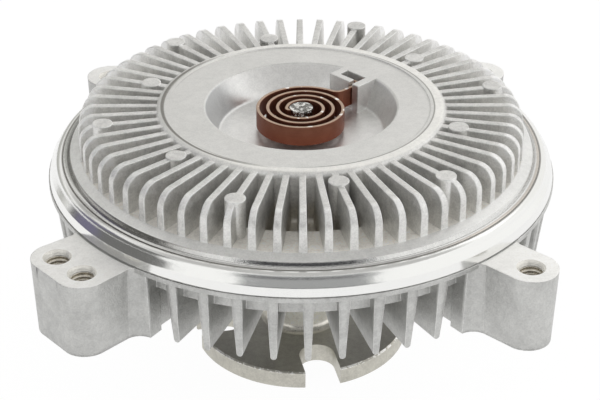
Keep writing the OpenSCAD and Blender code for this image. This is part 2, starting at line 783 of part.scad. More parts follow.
module front_cover() {
  color("lightgray") difference() {
    union() {
      rotate_extrude() {
        cover_profile();
        cover_lands();
      }
      front_fins();
      bosses();
      anchor();
    }
    rotate(turned_angle) translate([turned_shift, 0, z_plate - turned_depth])
      cylinder(r = turned_r, h = turned_depth + bite);
    translate([0, 0, z_collar - bite])
      cylinder(r = valve_shaft_r + running_gap, h = valve_bore_len + 2 * bite);
    anchor_pocket();
    ring_seal_groove();
    rivet_holes();
    wiper_pin_shape(seat_gap);
  }
}

module separator_plate() {
  color("slategray") difference() {
    translate([0, 0, z_cover_in]) cylinder(r = separator_r, h = separator_t);
    rivet_holes();
    rotate(anchor_angle + arm_angle) translate([port_circle, 0, z_cover_in - bite])
      cylinder(r = port_r, h = separator_t + 2 * bite);
  }
}

module separator_rivets() {
  color("silver") ring_of(rivet_count, anchor_angle) translate([rivet_circle, 0, z_cover_in]) {
    translate([0, 0, -rivet_head_h]) cylinder(r = rivet_head_r, h = rivet_head_h);
    cylinder(r = rivet_r, h = separator_t + rivet_len);
  }
}

wiper_r_in = rotor_r + free_gap;
wiper_r_out = spigot_r - seat_gap;

module wiper_pin_shape(gap) {
  rotate(anchor_angle + wiper_sweep / 2)
    translate([(wiper_r_in + wiper_r_out) / 2, 0, z_cover_in - wiper_h / 2 - gap])
    cylinder(r = wiper_pin_r + gap, h = wiper_h / 2 + wiper_pin_len + 2 * gap);
}

module pump_wiper() {
  color("saddlebrown") difference() {
    rotate(anchor_angle) rotate_extrude(angle = wiper_sweep)
      translate([wiper_r_in, z_cover_in - wiper_h]) square([wiper_r_out - wiper_r_in, wiper_h]);
    wiper_pin_shape(seat_gap);
  }
}

module wiper_pin() {
  color("silver") wiper_pin_shape(0);
}

// Middle line of the coil's strip, in the anchor's frame, from the shaft's slot to the hook
spiral_steps = 34;
inner_end_angle = tail_angle + 360 * coil_turns;
tang_angle = inner_end_angle + tang_turn;
tang_reach = 0.8 * valve_head_r;
tang_bend = 0.7 * valve_head_r;
function coil_radius(a) = coil_r - coil_pitch * (a - tail_angle) / 360;
function quad_curve(p, q, r, t) = (1 - t) * (1 - t) * p + 2 * t * (1 - t) * q + t * t * r;
function coil_point(a) = polar(coil_radius(a), a) + [coil_shift, 0];
inner_end = coil_point(inner_end_angle);
inner_turn = polar(inner_end * polar(1, inner_end_angle) / cos(tang_turn), tang_angle);
tail_start = coil_point(tail_angle);
tail_bend = (tail_start[1] + anchor_slot_y) / (1 - sin(tail_angle));
hook_bend = strip_t;
hook_x = anchor_x + anchor_post_t + pocket_w / 2;
hook_len = pocket_len / 2;
function left_turn(from, bend, heading, turn) =
  from + bend * [sin(heading + turn) - sin(heading), cos(heading) - cos(heading + turn)];
coil_line = concat(
  [polar(-tang_reach, tang_angle)],
  [for (t = [0 : 0.2 : 0.8]) quad_curve(polar(tang_bend, tang_angle), inner_turn, inner_end, t)],
  [for (i = [0 : 1 : coil_turns * spiral_steps])
    coil_point(inner_end_angle - i * 360 / spiral_steps)],
  [for (t = [0.15 : 0.17 : 1]) left_turn(tail_start, tail_bend, tail_angle - 90, t * (90 - tail_angle))],
  [for (t = [0 : 0.25 : 1]) left_turn([hook_x - hook_bend, -anchor_slot_y], hook_bend, 0, t * 90)],
  [[hook_x, hook_len - anchor_slot_y]]);

// Outline of a strip of thickness t along a line of points
function along(line, i) = line[min(i + 1, len(line) - 1)] - line[max(i - 1, 0)];
function offset_point(line, i, d) =
  let (step = along(line, i)) line[i] + d * [-step[1], step[0]] / norm(step);
function strip_outline(line, t) = concat(
  [for (i = [0 : len(line) - 1]) offset_point(line, i, t / 2)],
  [for (i = [len(line) - 1 : -1 : 0]) offset_point(line, i, -t / 2)]);

module bimetal_coil() {
  color("sienna") rotate(anchor_angle) translate([0, 0, z_coil]) linear_extrude(strip_h)
    polygon(strip_outline(coil_line, strip_t));
}

// Valve shaft: a round pin whose head is closed over the coil's inner end in its slot
module valve_shaft() {
  z_head = z_bowl + free_gap;
  z_head_top = z_coil_top + running_gap + valve_cap_t;
  color("whitesmoke") difference() {
    union() {
      translate([0, 0, z_arm]) cylinder(r = valve_shaft_r, h = z_head - z_arm + bite);
      translate([0, 0, z_head]) cylinder(r = valve_head_r, h = z_head_top - z_head);
    }
    rotate(anchor_angle + tang_angle) translate([-2 * valve_head_r, -strip_slot_w / 2, z_coil - free_gap])
      cube([4 * valve_head_r, strip_slot_w, strip_h + free_gap + running_gap]);
  }
}

module valve_shaft_seal() {
  color("black") rotate_extrude()
    translate([valve_shaft_r + running_gap + ring_seal_d / 2, (z_collar + z_bowl) / 2])
    circle(ring_seal_d / 2);
}

// Leaf that swings over the port in the separator plate
module valve_arm() {
  color("silver") rotate(anchor_angle + arm_angle) translate([0, 0, z_arm]) linear_extrude(arm_t)
    difference() {
      union() {
        circle(arm_w / 2);
        translate([0, -arm_w / 2]) square([port_circle, arm_w]);
        translate([port_circle, 0]) circle(arm_w / 2);
      }
      circle(valve_shaft_r + seat_gap);
    }
}

drive_shaft();
rotor_disc();
bearing_inner_ring();
bearing_outer_ring();
bearing_balls();
ball_cage();
bearing_seal_front();
bearing_seal_rear();
bearing_circlip();
rear_housing();
cover_seal();
front_cover();
separator_plate();
separator_rivets();
pump_wiper();
wiper_pin();
bimetal_coil();
valve_shaft();
valve_shaft_seal();
valve_arm();
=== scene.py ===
import json
import math

import bmesh
import bpy
import numpy as np
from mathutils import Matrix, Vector


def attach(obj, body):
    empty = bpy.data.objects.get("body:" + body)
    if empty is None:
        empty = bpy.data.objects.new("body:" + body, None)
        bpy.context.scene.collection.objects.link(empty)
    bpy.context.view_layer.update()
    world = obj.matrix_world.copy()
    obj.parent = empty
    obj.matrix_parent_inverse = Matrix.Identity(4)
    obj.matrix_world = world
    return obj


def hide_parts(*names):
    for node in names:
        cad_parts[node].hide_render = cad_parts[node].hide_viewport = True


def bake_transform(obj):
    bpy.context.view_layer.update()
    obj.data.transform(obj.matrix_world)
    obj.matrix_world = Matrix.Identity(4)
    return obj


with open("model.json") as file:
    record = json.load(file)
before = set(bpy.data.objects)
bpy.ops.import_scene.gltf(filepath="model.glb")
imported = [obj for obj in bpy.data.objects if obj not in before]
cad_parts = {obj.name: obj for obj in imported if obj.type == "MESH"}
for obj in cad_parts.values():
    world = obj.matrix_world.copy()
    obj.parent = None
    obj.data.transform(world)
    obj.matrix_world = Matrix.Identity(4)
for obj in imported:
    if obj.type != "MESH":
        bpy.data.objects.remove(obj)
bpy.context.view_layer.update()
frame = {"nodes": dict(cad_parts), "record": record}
nodes = frame["nodes"]

MM = 0.001

# Sizes shared with the part's source, in millimetres and degrees
FLANGE_R, FLANGE_T, NECK_R, NECK_FILLET = 39.5, 6.9, 12.2, 3.0
Z_LUG, LUG_H, SINK, THREAD_R = 71.4, 27.3, 0.8, 4.0
HOLE_CIRCLE, HOLE_ANGLES = 103.4, (34.6, 124.6, 214.6, 304.6, 207.1)
RIM_R, Z_LEDGE = 90.0, 71.75
LIP_R, STEP_R, LAND_R, FIN_R, PAD_R = 85.0, 83.0, 82.4, 78.9, 65.4
Z_CHANNEL, Z_FIN_TOP = 81.5, 94.6
PLATE_R, TURNED_R, Z_FACE, BOWL_R, Z_BOWL = 51.5, 47.2, 94.9, 34.0, 84.3
ANCHOR_ANGLE, SLOT_Y, HOOK_X, HOOK_LEN = 33.0, 0.4, 29.65, 3.5
STRIP_T, STRIP_H, COIL_R, COIL_PITCH, COIL_TURNS = 1.2, 7.0, 17.2, 3.5, 3.3
COIL_SHIFT, TAIL_ANGLE, TANG_TURN, Z_COIL, HEAD_R = 0.8, 8.0, 35.0, 86.3, 4.1
TANG_REACH, TANG_BEND = 0.8 * HEAD_R, 0.7 * HEAD_R
SINK_R, Z_SINK = THREAD_R + SINK, Z_LUG - SINK

# Thread turns in the fan holes, drawn in this scene only, from a plain mouth below the countersink
MOUTH, THREAD_PITCH, THREAD_H, THREAD_STEPS = 1.2, 1.25, 0.62, 36
ROOT_HALF, CREST_HALF, ROOT_SUNK, THREAD_END = 0.52, 0.10, 0.03, 0.4
Z_THREAD = Z_SINK - MOUTH

# Places that only the finishes use: where the rim's polish starts, and the middle of the face's painted
# groove shadow
POLISH_R, GROOVE_X, GROOVE_Y = 82.5, -1.3, 0.6

# Points on each turn of the coil, and the half side of the floor in metres
COIL_STEPS = 96
FLOOR_HALF = 6


def rgb(*value):
    return (*value, 1.0)


def polar(r, degrees):
    return np.array([r * math.cos(math.radians(degrees)), r * math.sin(math.radians(degrees))])


POLISHED = rgb(0.86, 0.86, 0.845)
SHADOW = rgb(0.28, 0.27, 0.25)


class Wire:
    """One output of a node. Arithmetic on it adds Math nodes."""

    def __init__(self, board, socket):
        self.board = board
        self.socket = socket

    def math(self, operation, first, second=0.0):
        return self.board.node("Math", {"operation": operation}, {0: first, 1: second})

    def limit(self, low, high):
        return self.math("MINIMUM", self.math("MAXIMUM", self, low), high)

    def __add__(self, other):
        return self.math("ADD", self, other)

    def __radd__(self, other):
        return self.math("ADD", other, self)

    def __sub__(self, other):
        return self.math("SUBTRACT", self, other)

    def __rsub__(self, other):
        return self.math("SUBTRACT", other, self)

    def __mul__(self, other):
        return self.math("MULTIPLY", self, other)

    def __rmul__(self, other):
        return self.math("MULTIPLY", other, self)

    def __pow__(self, other):
        return self.math("POWER", self, other)

    def __rpow__(self, other):
        return self.math("POWER", other, self)

    def __abs__(self):
        return self.math("ABSOLUTE", self)


class Board:
    """The nodes of one finish or of the world."""

    def __init__(self, tree):
        self.tree = tree
        tree.nodes.clear()

    def node(self, kind, settings=None, sockets=None, out=0):
        made = self.tree.nodes.new("ShaderNode" + kind)
        for key, value in (settings or {}).items():
            setattr(made, key, value)
        for key, value in (sockets or {}).items():
            if isinstance(value, Wire):
                self.tree.links.new(value.socket, made.inputs[key])
            else:
                made.inputs[key].default_value = value
        return Wire(self, made.outputs[out] if len(made.outputs) else None)

    def step(self, value, low, high):
        """0 below low, 1 above high, smooth in between."""
        return self.node("MapRange", {"interpolation_type": "SMOOTHSTEP"}, {0: value, 1: low, 2: high})

    def fade(self, value, low, high):
        """1 below low, 0 above high, smooth in between."""
        return 1 - self.step(value, low, high)

    def band(self, value, low, high, soft):
        """1 between low and high, with soft ends."""
        return self.step(value, low - soft, low + soft) * self.fade(value, high - soft, high + soft)

    def noise(self, place, scale, detail, rough):
        sockets = {"Vector": place, "Scale": scale, "Detail": detail, "Roughness": rough}
        return self.node("TexNoise", None, sockets)

    def mix(self, share, first, second):
        """Colour between first and second."""
        return self.node("Mix", {"data_type": "RGBA"}, {0: share, 6: first, 7: second}, 2)

    def layers(self, base, rows):
        """Colours laid over a base in turn, each where its mask is 1."""
        for mask, colour in rows:
            base = self.mix(mask, base, colour)
        return base

    def shade(self, colour, value):
        """Colour made lighter or darker by a value."""
        return self.node("VectorMath", {"operation": "SCALE"}, {0: colour, "Scale": value})

    def dot(self, first, second):
        return self.node("VectorMath", {"operation": "DOT_PRODUCT"}, {0: first, 1: second}, 1)

    def parts(self, vector):
        return [self.node("SeparateXYZ", None, {0: vector}, axis) for axis in range(3)]

    def vector(self, x, y, z):
        return self.node("CombineXYZ", None, {0: x, 1: y, 2: z})

    def across(self, x, y):
        """Distance that two sides at right angles span."""
        return (x * x + y * y) ** 0.5

    def place(self):
        """Place on the piece in millimetres."""
        return self.shade(self.node("TexCoord", None, None, "Object"), 1 / MM)

    def axes(self, mm):
        """Parts of a place, and its distance from the shaft's axis."""
        x, y, z = self.parts(mm)
        return x, y, z, self.across(x, y)

    def facing_up(self):
        """1 on faces that look up, 0 on walls, -1 below."""
        return self.parts(self.node("TexCoord", None, None, "Normal"))[2]

    def true_normal(self):
        return self.node("NewGeometry", None, None, "Normal")

    def soft_normal(self, radius):
        """Normal that rounds the edges."""
        return self.node("Bevel", {"samples": 8}, {"Radius": radius * MM})

    def edges(self, soft):
        """Mask of the edges that a soft normal rounds."""
        return self.fade(self.dot(soft, self.true_normal()), 0.8, 0.99)

    def blend(self, share, first, second):
        """Direction between first and second."""
        return self.node("Mix", {"data_type": "VECTOR"}, {0: share, 4: first, 5: second}, 1)

    def bump(self, height, distance, strength, normal=None):
        sockets = {"Height": height, "Distance": distance * MM, "Strength": strength}
        if normal is not None:
            sockets["Normal"] = normal
        return self.node("Bump", None, sockets)

    def finish(self, shader):
        self.node("OutputMaterial", None, {0: shader})

    def surface(self, sockets):
        self.finish(self.node("BsdfPrincipled", None, sockets))


def finish_board(name):
    material = bpy.data.materials.new(name)
    material.use_nodes = True
    return material, Board(material.node_tree)


def cast_grain(board, mm):
    """Grain of a die casting as a height, and its stains as a value around 1."""
    sizes = ((1.6, 3.0), (0.45, 3.0), (0.08, 4.0))
    fine, patches, clouds = [
        board.step(board.noise(mm, scale, detail, 0.6), 0.3, 0.7) for scale, detail in sizes]
    tone = 0.76 + 0.16 * clouds + 0.14 * patches + 0.16 * fine
    return fine * 0.6 + patches * 0.4, tone


def turned_lines(board, z, r):
    """Fine rings left by a lathe, the same all the way around."""
    return board.noise(board.vector(r, z, 0.0), 5.0, 4.0, 0.7)


def cover_finish():
    material, board = finish_board("cast_cover")
    mm = board.place()
    x, y, z, r = board.axes(mm)
    up = board.facing_up()
    soft = board.soft_normal(0.7)
    edge = board.edges(soft)
    grain, tone = cast_grain(board, mm)
    rings = turned_lines(board, z, r)

    # The plain face, the bowl and the foot around the fins
    face = board.fade(r, PLATE_R - 1.6, PLATE_R - 0.6) * board.step(z, Z_FACE - 0.3, Z_FACE - 0.1)
    bowl = board.fade(r, BOWL_R - 0.4, BOWL_R + 0.8) * (1 - face)
    wall = board.fade(up, 0.6, 0.9) * board.fade(r, BOWL_R + 2.0, BOWL_R + 2.1)
    brim = board.band(r, BOWL_R - 1.5, BOWL_R + 1.5, 0.2) * board.step(z, Z_FACE - 1.6, Z_FACE - 1.4)
    # Painted highlight: the bowl's rounded top edge is lightened towards white
    corner = edge * bowl * board.fade(z, Z_FACE - 1.2, Z_FACE - 0.6)
    foot = board.step(r, FIN_R - 0.2, FIN_R + 0.1) * board.fade(z, Z_CHANNEL + 0.1, Z_CHANNEL + 0.6)
    bevel = board.step(r, LAND_R - 0.25, LAND_R - 0.1) * foot
    lip_step = board.step(r, STEP_R - 0.05, STEP_R + 0.05)
    seam = board.step(r, LIP_R - 0.35, LIP_R - 0.15)
    plain = face + bowl + foot

    # The fins and the floor between them
    floor = board.step(up, 0.7, 0.9) * board.fade(z, Z_CHANNEL + 0.6, Z_CHANNEL + 1.6)
    # Painted light: the floor pads at the fins' outer ends are lightened towards white
    pad = floor * board.band(r, PAD_R, FIN_R, 0.2)
    trench = board.band(r, PLATE_R - 0.5, PAD_R, 0.3) * board.fade(z, Z_CHANNEL - 1.0, Z_CHANNEL + 5.0)
    fin_top = board.step(up, 0.8, 0.95) * board.step(z, Z_CHANNEL + 3.0, Z_CHANNEL + 4.0)
    # Painted highlight: the rounded edges above the channel floor are lightened towards white
    fin_edge_highlight = edge * edge * board.step(z, Z_CHANNEL + 1.0, Z_CHANNEL + 3.0)
    fin_end = board.band(r, FIN_R - 5.5, FIN_R - 1.0, 1.0)
    # Painted highlight at the bend of the fins' outer ends
    shoulder_highlight = fin_end * board.step(z, Z_FIN_TOP - 5.0, Z_FIN_TOP - 3.0)

    # Tones at one side only, most of them painted light: a painted highlight on the face's border and a
    # painted dark line at the turned edge on the right, a painted groove shadow on the face's left, painted
    # dark reflections on the bowl's left wall and on the left bevel, and a taupe tone on the right of the
    # lip
    right_part = board.step(x, -46.0, -26.0)
    # Painted highlight: a light band on the face just outside the turned edge, on the right only
    border_highlight = board.step(r, TURNED_R + 0.1, TURNED_R + 0.4) * face * right_part
    line = board.band(r, TURNED_R - 0.35, TURNED_R + 0.1, 0.12) * face * board.fade(y, 22.0, 40.0)
    # Painted shadow: a dark band along the left of the face, about its own off-centre middle
    off_middle = board.across(x - GROOVE_X, y - GROOVE_Y)
    groove_shadow = board.band(off_middle, TURNED_R, TURNED_R + 1.2, 0.25) * face * board.fade(x, -38.0, -12.0)
    # Painted dark reflection on the left of the bowl's wall
    painted_dark_reflection = wall * board.fade(x, -24.0, -10.0) * board.fade(y, 18.0, 29.0)
    taupe = board.step(r, LIP_R - 1.3, LIP_R - 1.0) * board.step(x, 20.0, 45.0)
    left_bevel = bevel * board.fade(r, STEP_R + 0.2, STEP_R + 0.7) * board.fade(x, -70.0, -35.0)
    # Painted shadow: the dark line at the turned edge, the seam, the groove shadow, the dark reflection on
    # the left bevel and a slight darkening of the whole bevel
    shadow = line * right_part * 0.75 + seam * 0.8 + groove_shadow + left_bevel * 0.6 + bevel * 0.2

    base = board.layers(rgb(0.86, 0.855, 0.835), (
        (trench, rgb(0.80, 0.77, 0.71)),
        # painted light on the pads
        (pad, rgb(1.0, 0.97, 0.91)),
        (fin_top, rgb(0.76, 0.755, 0.735)),
        (face, rgb(0.79, 0.785, 0.765)),
        (border_highlight * 0.8, rgb(1.0, 0.99, 0.955)),
        (bowl, rgb(0.90, 0.895, 0.88)),
        # painted highlight on the bowl's top edge
        (corner * 0.35, rgb(1.0, 1.0, 0.99)),
        (painted_dark_reflection * 0.85, rgb(0.60, 0.61, 0.62)),
        (foot, POLISHED),
        (fin_edge_highlight, rgb(1.0, 0.995, 0.98)),
        (shoulder_highlight * 0.8, rgb(1.0, 0.995, 0.985)),
        (taupe * 0.8, rgb(0.62, 0.56, 0.50)),
        (shadow, SHADOW),
    ))
    base = board.shade(base, tone * (1 - plain * 0.7) + plain * (0.62 + 0.08 * grain))
    streaks = board.noise(board.vector(x * 0.9, y * 0.25, z * 0.9), 0.22, 3.0, 0.6)
    rough = 0.42 + 0.12 * grain - bowl * 0.16 * streaks - foot * 0.14 - bevel * 0.20 - pad * 0.10

    # Heights: the grain, a hollow inside the lip, and a lean of the bowl's wall at the back
    relief = grain * (1 - plain * 0.75) + rings * foot * 0.1
    hollow = lip_step * board.fade(r, LIP_R - 0.1, LIP_R) * (LIP_R - r) * (LIP_R - r) * 0.3
    lean = wall * board.step(y, 21.0, 31.0) * ((Z_FACE + Z_BOWL) / 2 - z) * 0.6
    rounded = board.blend(brim, soft, board.true_normal())
    board.surface({
        "Base Color": base, "Metallic": 0.88 + 0.12 * bevel - 0.70 * pad, "Roughness": rough,
        "Normal": board.bump(relief, 0.14, 0.55, board.bump(hollow + lean, 1.0, 1.0, rounded)),
    })
    return material


def housing_finish():
    material, board = finish_board("cast_housing")
    mm = board.place()
    x, y, z, r = board.axes(mm)
    soft = board.soft_normal(0.5)
    grain, tone = cast_grain(board, mm)
    rings = turned_lines(board, z, r)

    # The polished rim, the machined lug tops and the fan holes
    rim = board.band(r, POLISH_R, RIM_R + 0.06, 0.05) * board.step(z, Z_LEDGE - 0.1, Z_LEDGE - 0.01)
    seam = board.fade(r, LIP_R + 0.25, LIP_R + 0.6) * rim
    flat = board.step(board.facing_up(), 0.8, 0.95)
    lug_top = board.step(r, RIM_R + 0.4, RIM_R + 0.7) * board.step(z, Z_LUG - 0.2, Z_LUG - 0.1) * flat
    sinks = 0.0
    for angle in HOLE_ANGLES:
        hole_x, hole_y = polar(HOLE_CIRCLE, angle)
        from_hole = board.across(x - hole_x, y - hole_y)
        sinks = board.fade(from_hole, SINK_R + 0.05, SINK_R + 0.15) + sinks
    deep = sinks * board.fade(z, Z_THREAD - 0.2, Z_THREAD + 0.2)
    # Painted highlight: the rounded edges, away from the rim and the holes, are lightened
    fin_edge_highlight = board.edges(soft) * (1 - rim) * (1 - sinks)

    base = board.layers(rgb(0.60, 0.60, 0.585), (
        (fin_edge_highlight * 0.8, rgb(0.92, 0.915, 0.90)),
        (lug_top, rgb(0.98, 0.975, 0.955)),
    ))
    base = board.shade(base, tone * (1 - lug_top * 0.5) + lug_top * 0.48)
    base = board.layers(base, (
        (rim, POLISHED),
        (seam * 0.8, SHADOW),
        (sinks, rgb(1.0, 0.98, 0.92)),
        (deep, rgb(0.80, 0.76, 0.68)),
    ))
    rough = 0.44 + 0.12 * grain - rim * 0.36 - lug_top * 0.06 - sinks * 0.28

    # Wider rounds on the rolled lip and the lugs' sides, and none in the corner under the rim except on the
    # left
    rim_top = rim * board.step(z, Z_LEDGE + 4.2, Z_LEDGE + 4.6)
    lug_low = board.fade(z, Z_LUG - 2.6, Z_LUG - 2.0)
    lug_side = board.step(r, RIM_R - 3.0, RIM_R - 2.5) * lug_low * (1 - sinks)
    corner = board.band(r, RIM_R - 0.7, RIM_R + 0.7, 0.1) * board.band(z, Z_LEDGE - 0.1, Z_LEDGE + 0.8, 0.1)
    rounded = board.blend(rim_top, soft, board.soft_normal(1.2))
    rounded = board.blend(lug_side, rounded, board.soft_normal(2.5))
    rounded = board.blend(corner * board.step(x, -60.0, -30.0), rounded, board.true_normal())

    # Heights: the grain, and the slope of the fan holes' mouths
    relief = grain * (1 - rim) * (1 - lug_top * 0.6) + rings * rim * 0.05
    mouth = (Z_SINK - z).limit(0.0, MOUTH) * sinks
    board.surface({
        "Base Color": base, "Metallic": 0.88 + 0.12 * rim - 0.50 * sinks + 0.60 * deep, "Roughness": rough,
        "Normal": board.bump(relief, 0.14, 0.6, board.bump(mouth, 1.0, 1.0, rounded)),
    })
    return material


def shaft_finish():
    material, board = finish_board("plated_shaft")
    mm = board.place()
    x, y, z, r = board.axes(mm)
    tone = cast_grain(board, mm)[1]
    strokes = board.noise(board.vector(x, y, z * 0.02), 2.2, 5.0, 0.7)
    rings = turned_lines(board, z, r)
    flat = board.step(board.facing_up(), 0.7, 0.95)
    # Painted light: the neck's colour is lightened nearly to white
    neck_painted_light = board.fade(r, NECK_R + 0.1, NECK_R + 0.4)
    low_neck = board.band(z, FLANGE_T, FLANGE_T + NECK_FILLET, 0.3)
    fillet = board.band(r, NECK_R + 0.1, NECK_R + NECK_FILLET, 0.2) * low_neck
    flange_edge = board.step(r, FLANGE_R - 0.7, FLANGE_R - 0.4)
    burr = board.band(z, FLANGE_T - 0.7, FLANGE_T + 0.1, 0.1) * flange_edge
    chipped = burr * board.step(board.noise(mm, 0.5, 3.0, 0.7), 0.46, 0.54)
    base = board.layers(rgb(0.53, 0.515, 0.46), (
        (flat, rgb(0.35, 0.34, 0.31)),
        (neck_painted_light, rgb(1.0, 0.98, 0.88)),
        (fillet, rgb(0.80, 0.77, 0.70)),
        (chipped, rgb(0.95, 0.94, 0.90)),
    ))
    rough = 0.36 + 0.14 * strokes - fillet * 0.14
    relief = strokes * 0.5 + rings * flat * 0.4 + chipped
    board.surface({
        "Base Color": board.shade(base, tone + 0.06), "Metallic": 0.92 - 0.7 * neck_painted_light, "Roughness": rough,
        "Normal": board.bump(relief, 0.08, 0.5),
    })
    return material


def coil_finish():
    material, board = finish_board("bimetal_strip")
    mm = board.place()
    x, y, z = board.parts(mm)
    lines = board.noise(board.vector(x * 0.06, y * 0.06, z), 3.2, 5.0, 0.75)
    stain = board.noise(mm, 0.28, 4.0, 0.6)
    top = board.step(board.facing_up(), 0.6, 0.85)
    # Painted glints: near-white specks on the strip's cut top edges, which are also smoother
    painted_glints = board.step(board.noise(mm, 0.33, 1.0, 0.4), 0.68, 0.72)
    low = 0.6 - board.step(z, Z_COIL, Z_COIL + STRIP_H) * 0.6
    side = board.mix(stain, rgb(0.19, 0.07, 0.045), rgb(0.38, 0.16, 0.10))
    side = board.mix(low, side, rgb(0.27, 0.07, 0.035))
    cut = board.mix(stain, rgb(0.40, 0.28, 0.20), rgb(0.56, 0.43, 0.33))
    cut = board.mix(painted_glints, cut, rgb(0.95, 0.92, 0.88))
    base = board.mix(top, side, cut)
    rough = 0.38 + 0.16 * lines - top * 0.08 - top * painted_glints * 0.14
    board.surface({
        "Base Color": board.shade(base, 0.80 + 0.40 * lines), "Metallic": 0.85, "Roughness": rough,
        "Normal": board.bump(lines, 0.06, 0.5),
    })
    return material


def head_finish():
    material, board = finish_board("crimped_head")
    folds = board.noise(board.place(), 0.55, 3.0, 0.6)
    # Painted shade: the base is dark in the low folds, where the creases are, and bright on the crests
    bright = board.step(folds, 0.42, 0.60)
    board.surface({
        "Base Color": board.mix(bright, rgb(0.20, 0.195, 0.18), rgb(1.0, 0.99, 0.96)), "Metallic": 1.0,
        "Roughness": 0.12 + 0.14 * bright, "Normal": board.bump(folds, 2.0, 0.8),
    })
    return material


def plain_finish(name, dark, light, rough, scale, depth, metallic):
    """One material with a fine uneven surface."""
    material, board = finish_board(name)
    grain = board.noise(board.place(), scale, 4.0, 0.65)
    board.surface({
        "Base Color": board.mix(grain, rgb(*dark), rgb(*light)), "Metallic": metallic,
        "Roughness": rough + 0.12 * grain, "Normal": board.bump(grain, depth, 0.7),
    })
    return material


finishes = {
    "cover_casting": cover_finish(),
    "housing_casting": housing_finish(),
    "plated_steel": shaft_finish(),
    "bimetal_strip": coil_finish(),
    "valve_steel": head_finish(),
}
# Slot, name, dark and light colour, roughness, scale and depth of the grain, metallic
plain_rows = (
    ("machined_aluminium", "machined_rotor", (0.55, 0.55, 0.54), (0.70, 0.70, 0.69), 0.30, 2.0, 0.05, 1.0),
    ("bearing_steel", "ground_bearing", (0.52, 0.52, 0.53), (0.66, 0.66, 0.67), 0.18, 3.0, 0.02, 1.0),
    ("cage_brass", "brass_cage", (0.48, 0.33, 0.13), (0.66, 0.48, 0.22), 0.30, 2.0, 0.04, 1.0),
    ("spring_steel", "dark_circlip", (0.06, 0.06, 0.055), (0.15, 0.145, 0.14), 0.42, 2.0, 0.04, 1.0),
    ("sheet_steel", "sheet_steel", (0.42, 0.42, 0.42), (0.58, 0.58, 0.58), 0.32, 1.5, 0.04, 1.0),
    ("wiper_plastic", "brown_wiper", (0.14, 0.09, 0.05), (0.24, 0.16, 0.10), 0.45, 1.5, 0.04, 0.0),
    ("seal_rubber", "black_seal", (0.012, 0.012, 0.012), (0.035, 0.034, 0.033), 0.55, 2.5, 0.05, 0.0),
)
for slot, *row in plain_rows:
    finishes[slot] = plain_finish(*row)

node_slots = {row["node"]: row["material_slot"] for row in frame["record"]["subparts"]}
for name, obj in nodes.items():
    obj.data.materials.clear()
    obj.data.materials.append(finishes[node_slots[name]])


def new_object(name, data):
    obj = bpy.data.objects.new(name, data)
    bpy.context.scene.collection.objects.link(obj)
    return obj


def new_piece(name, mesh_maker, slot):
    """A mesh made by code, with the finish of a slot."""
    build = bmesh.new()
    mesh_maker(build)
    bmesh.ops.recalc_face_normals(build, faces=build.faces)
    mesh = bpy.data.meshes.new(name)
    build.to_mesh(mesh)
    build.free()
    obj = new_object(name, mesh)
    mesh.materials.append(finishes[slot])
    return obj


def sweep(build, rings):
    """Skin over closed rings of points, with a face at each end."""
    rows = [[build.verts.new(Vector(p) * MM) for p in ring] for ring in rings]
    for one, two in zip(rows, rows[1:]):
        for i in range(len(one)):
            j = (i + 1) % len(one)
            build.faces.new((one[i], one[j], two[j], two[i]))
    build.faces.new(rows[0])
    build.faces.new(rows[-1][::-1])


def fan_threads(build):
    """Helical ridges in the lugs' holes, which rise and fade over their first and last turn."""
    bottom = Z_LUG - LUG_H + THREAD_END
    count = int((Z_THREAD - bottom) / THREAD_PITCH * THREAD_STEPS)
    for angle in HOLE_ANGLES:
        middle = polar(HOLE_CIRCLE, angle)
        rings = []
        for i in range(count + 1):
            turns = i / THREAD_STEPS
            rise = min(1.0, turns, (count - i) / THREAD_STEPS)
            root, crest = THREAD_R + ROOT_SUNK, THREAD_R - THREAD_H * rise
            section = ((root, -ROOT_HALF), (crest, -CREST_HALF), (crest, CREST_HALF), (root, ROOT_HALF))
            z = Z_THREAD - THREAD_PITCH * turns
            rings.append([(*(middle + polar(r, 360 * turns)), z + dz) for r, dz in section])
        sweep(build, rings)


threads = new_piece("fan_threads", fan_threads, "housing_casting")
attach(threads, "housing")


def left_turn(start, bend, heading, turn):
    h, t = math.radians(heading), math.radians(heading + turn)
    return start + bend * np.array([math.sin(t) - math.sin(h), math.cos(h) - math.cos(t)])


def coil_line():
    """Points from the valve head's slot to the hook, each with a share from 1 at the head to 0 at the hook
    for how far it would follow the valve shaft; nothing here uses the share.
    """
    inner = TAIL_ANGLE + 360 * COIL_TURNS
    tang = inner + TANG_TURN

    def point(a):
        return polar(COIL_R - COIL_PITCH * (a - TAIL_ANGLE) / 360, a) + np.array([COIL_SHIFT, 0])

    # Straight through the head, then a curve out to the spiral
    end, first = point(inner), polar(TANG_BEND, tang)
    turn = polar(end @ polar(1, inner) / math.cos(math.radians(TANG_TURN)), tang)
    line = [(polar(-TANG_REACH, tang), 1.0), (polar(0.0, tang), 1.0)]
    for t in np.linspace(0, 0.92, 12):
        line.append(((1 - t) ** 2 * first + 2 * t * (1 - t) * turn + t * t * end, 1.0))

    # The spiral, from the inside out
    steps = int(COIL_TURNS * COIL_STEPS)
    line += [(point(inner - 360 * COIL_TURNS * i / steps), 1 - i / steps) for i in range(steps + 1)]

    # The tail, which bends into the anchor's slot and ends in the hook
    start = point(TAIL_ANGLE)
    bend = (start[1] + SLOT_Y) / (1 - math.sin(math.radians(TAIL_ANGLE)))
    for t in np.linspace(0.06, 1, 16):
        line.append((left_turn(start, bend, TAIL_ANGLE - 90, t * (90 - TAIL_ANGLE)), 0.0))
    corner = np.array([HOOK_X - STRIP_T, -SLOT_Y])
    line += [(left_turn(corner, STRIP_T, 0, t * 90), 0.0) for t in np.linspace(0, 1, 9)]
    line.append((np.array([HOOK_X, HOOK_LEN - SLOT_Y]), 0.0))
    return line


